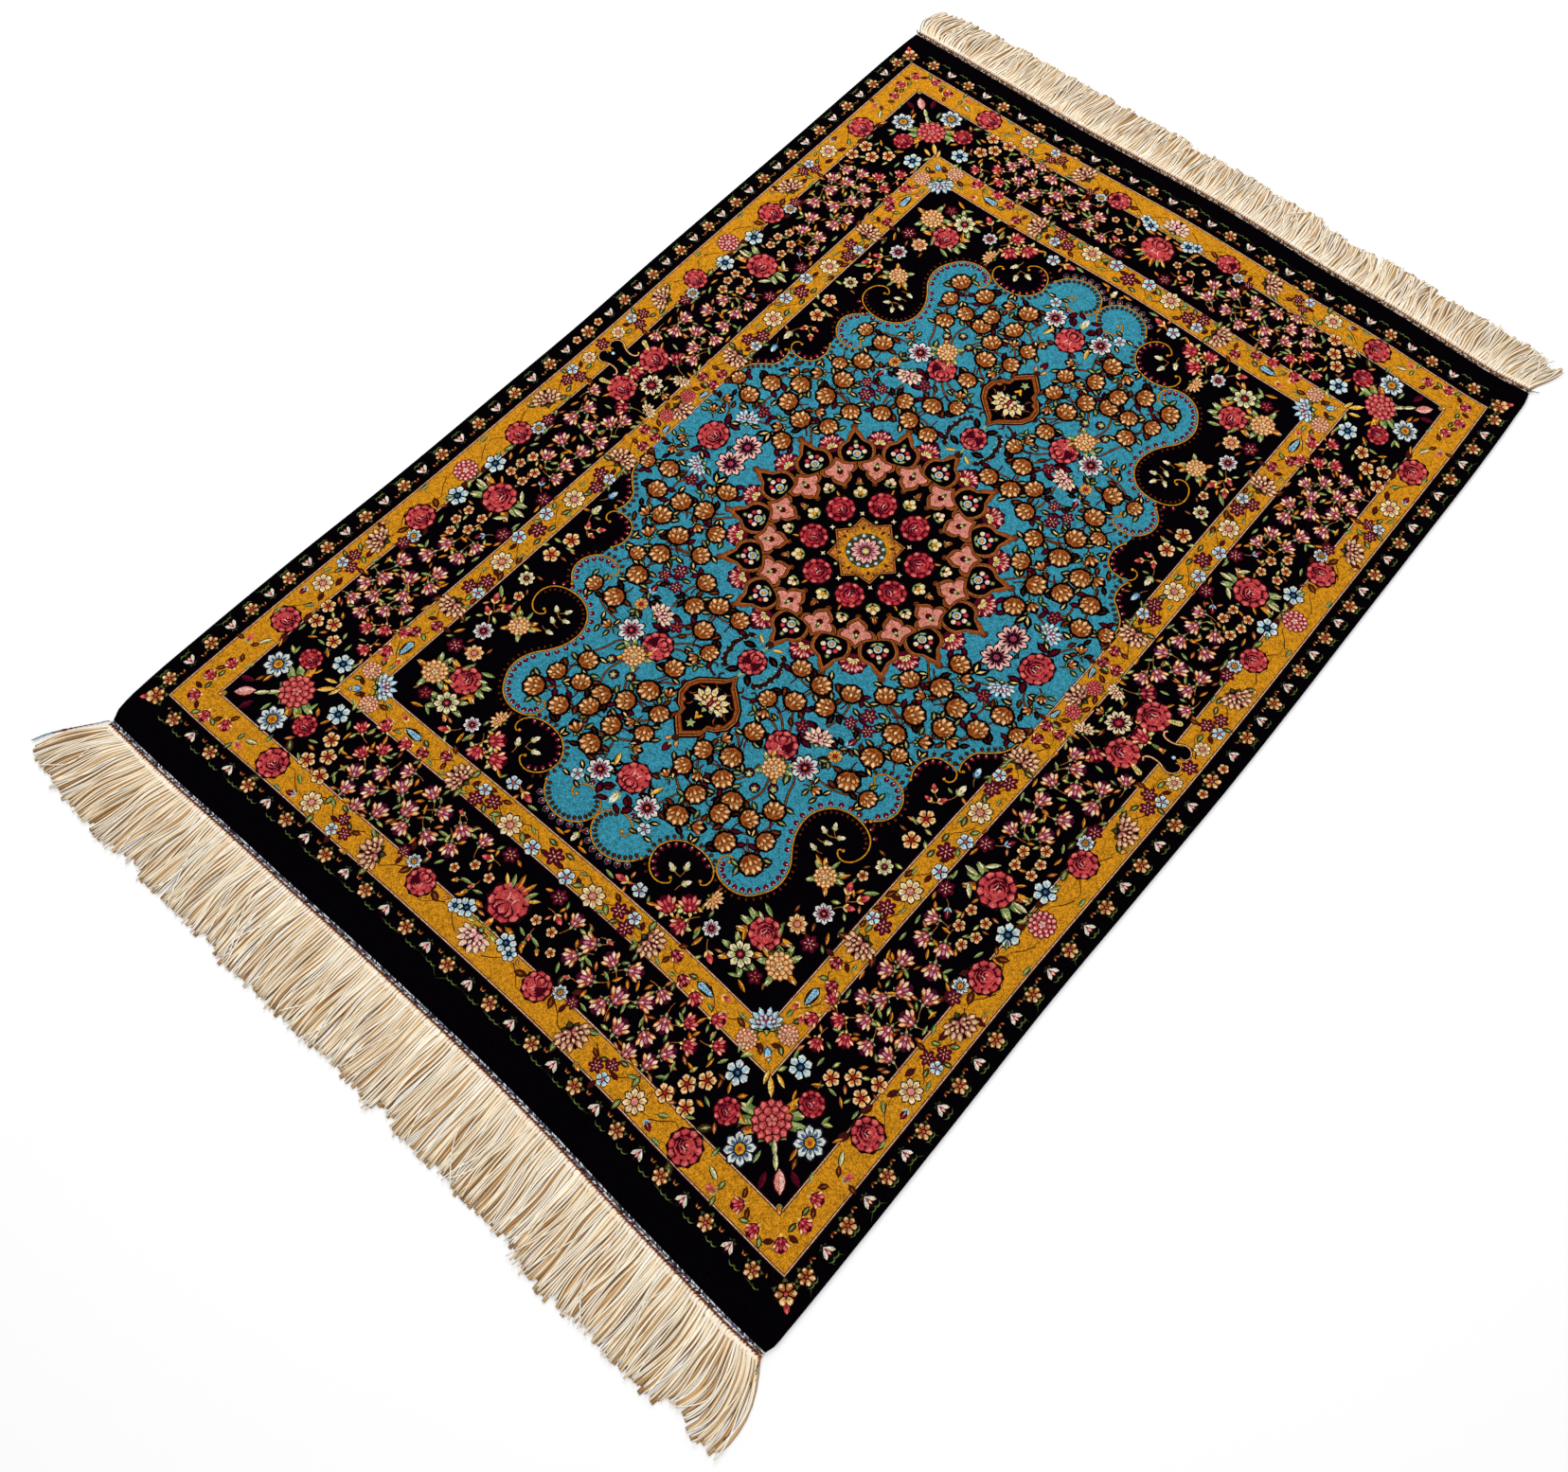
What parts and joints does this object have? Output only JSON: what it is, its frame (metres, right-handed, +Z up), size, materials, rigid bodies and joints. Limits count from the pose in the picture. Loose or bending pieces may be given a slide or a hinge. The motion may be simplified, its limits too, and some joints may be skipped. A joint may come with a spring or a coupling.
{
  "type": "persian rug",
  "caption": "Flat rectangular hand-knotted floor rug with a medallion pattern, a twined band and a knotted warp fringe at each end.",
  "frame": {"origin": "middle of the carpet's underside, on the floor", "axes": "+Z up out of the pile; +Y along the rug towards the end with the shorter fringe; +X across it, so that X and Y with +Z up make a right-handed frame"},
  "size_m": [1.0736, 1.6575, 0.004],
  "materials": {
    "silk_pile": "clipped silk pile with a soft sheen",
    "twined_yarn": "twined yarn",
    "warp_fringe": "undyed plied silk warp"
  },
  "bodies": {
    "root": {"carpet": "silk_pile", "end_band_near": "twined_yarn", "end_band_far": "twined_yarn", "fringe_near": "warp_fringe", "fringe_far": "warp_fringe"}
  },
  "joints": []
}
